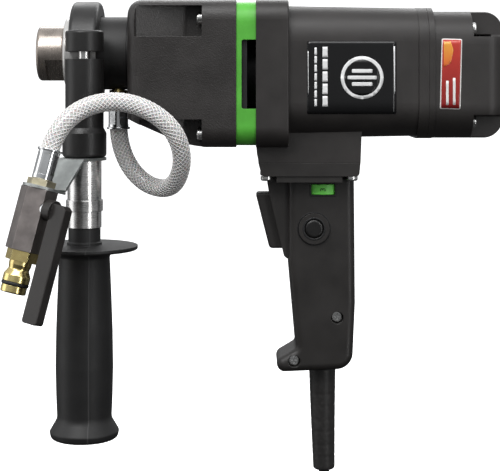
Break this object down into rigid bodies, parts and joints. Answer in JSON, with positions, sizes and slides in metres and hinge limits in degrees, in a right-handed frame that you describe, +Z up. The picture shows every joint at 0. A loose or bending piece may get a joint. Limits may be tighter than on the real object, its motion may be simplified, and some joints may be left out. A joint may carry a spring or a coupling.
{
  "type": "core drill",
  "caption": "Hand-held wet core drill with a pistol grip, a clamped side handle and a valved water feed to the spindle.",
  "frame": {"origin": "centre of the front face of the spindle's nose", "axes": "+X back along the spindle towards the motor, +Z up, -Y towards the side with the speed dial and the water valve"},
  "size_m": [0.3459, 0.1603, 0.3616],
  "materials": {
    "black_plastic": "fine textured black moulded plastic",
    "cast_black": "textured black coating on cast aluminium",
    "green": "bright green moulded plastic",
    "steel": "turned and ground steel",
    "zinc": "zinc plated sheet steel",
    "nickel": "satin nickel plating",
    "chrome": "bright plating",
    "brass": "machined brass",
    "rubber": "black rubber",
    "hose": "clear hose with white braid",
    "copper": "enamelled copper winding",
    "iron": "stamped iron laminations",
    "aluminium": "machined aluminium casting",
    "carbon": "graphite"
  },
  "bodies": {
    "machine": {"neck": "steel", "spindle_bearings": "steel", "intermediate_bearings": "steel", "armature_bearings": "steel", "water_seals": "rubber", "gear_housing": "cast_black", "middle_plate": "aluminium", "bearing_plate": "aluminium", "air_ring": "green", "gear_case_screws": "zinc", "motor_housing": "black_plastic", "stator_core": "iron", "field_coils": "copper", "brush_carrier": "black_plastic", "brushes": "carbon", "brush_springs": "steel", "rear_cap": "black_plastic", "rear_cap_screws": "zinc", "grip_shell_left": "black_plastic", "grip_shell_right": "black_plastic", "foot_screws": "zinc", "grip_screws": "zinc", "dial_pin": "steel", "switch_body": "black_plastic", "control_module": "black_plastic", "cable_guard": "rubber", "mains_cable": "rubber", "cable_clamp": "black_plastic", "inlet_nipple": "brass", "inlet_ferrule": "chrome", "water_hose": "hose"},
    "output_spindle": {"spindle": "steel", "output_gear": "steel"},
    "intermediate": {"intermediate_shaft": "steel", "intermediate_gear": "steel"},
    "armature": {"armature_shaft": "steel", "armature_core": "iron", "commutator": "copper", "fan": "black_plastic"},
    "trigger": {"trigger": "black_plastic"},
    "lock_button": {"lock_button": "black_plastic"},
    "speed_dial": {"speed_dial": "green"},
    "side_handle": {"clamp_lower_jaw": "cast_black", "clamp_hinge_pin": "steel", "handle_sleeve": "steel", "valve_bracket": "zinc", "hose_tail": "zinc", "valve_ferrule": "chrome", "valve_body": "nickel", "hose_plug": "brass", "plug_o_ring": "rubber"},
    "upper_jaw": {"clamp_upper_jaw": "cast_black"},
    "grip": {"handle_rod": "steel", "side_grip": "black_plastic"},
    "valve_lever": {"valve_ball": "chrome", "valve_lever": "black_plastic"}
  },
  "joints": [
    {"name": "spindle_spin", "type": "hinge", "parent": "machine", "child": "output_spindle", "pos_m": [0.047, 0, 0], "axis": [1, 0, 0], "continuous": true},
    {"name": "intermediate_spin", "type": "hinge", "parent": "machine", "child": "intermediate", "pos_m": [0.097, 0.02283, -0.0217], "axis": [1, 0, 0], "continuous": true},
    {"name": "armature_spin", "type": "hinge", "parent": "machine", "child": "armature", "pos_m": [0.197, 0, -0.0143], "axis": [1, 0, 0], "continuous": true},
    {"name": "trigger_pull", "type": "slide", "parent": "machine", "child": "trigger", "axis": [0.9703, 0, 0.2419], "range_m": [0, 0.0065]},
    {"name": "lock_press", "type": "slide", "parent": "machine", "child": "lock_button", "axis": [0, 1, 0], "range_m": [0, 0.0025]},
    {"name": "speed_turn", "type": "hinge", "parent": "machine", "child": "speed_dial", "pos_m": [0.2065, -0.0086, -0.0975], "axis": [0, 0, 1], "range_deg": [-90, 135]},
    {"name": "handle_swing", "type": "hinge", "parent": "machine", "child": "side_handle", "pos_m": [0.0365, 0, 0], "axis": [1, 0, 0], "range_deg": [-20, 25], "deforming": ["water_hose"]},
    {"name": "grip_twist", "type": "hinge", "parent": "side_handle", "child": "grip", "pos_m": [0.0375, -0.037, -0.2], "axis": [0, 0, 1], "range_deg": [0, 360]},
    {"name": "jaw_open", "type": "hinge", "parent": "side_handle", "child": "upper_jaw", "pos_m": [0.0375, 0.0335, 0], "axis": [-1, 0, 0], "range_deg": [0, 1.5]},
    {"name": "valve_turn", "type": "hinge", "parent": "side_handle", "child": "valve_lever", "pos_m": [0.01033, -0.08475, -0.1045], "axis": [-0.8416, 0.5231, 0.1348], "range_deg": [0, 90]}
  ],
  "couplings": [
    {"joint": "intermediate_spin", "follows": "spindle_spin", "ratio": -2.8182},
    {"joint": "armature_spin", "follows": "spindle_spin", "ratio": 12.212},
    {"joint": "jaw_open", "follows": "grip_twist", "ratio": 0.004067}
  ]
}
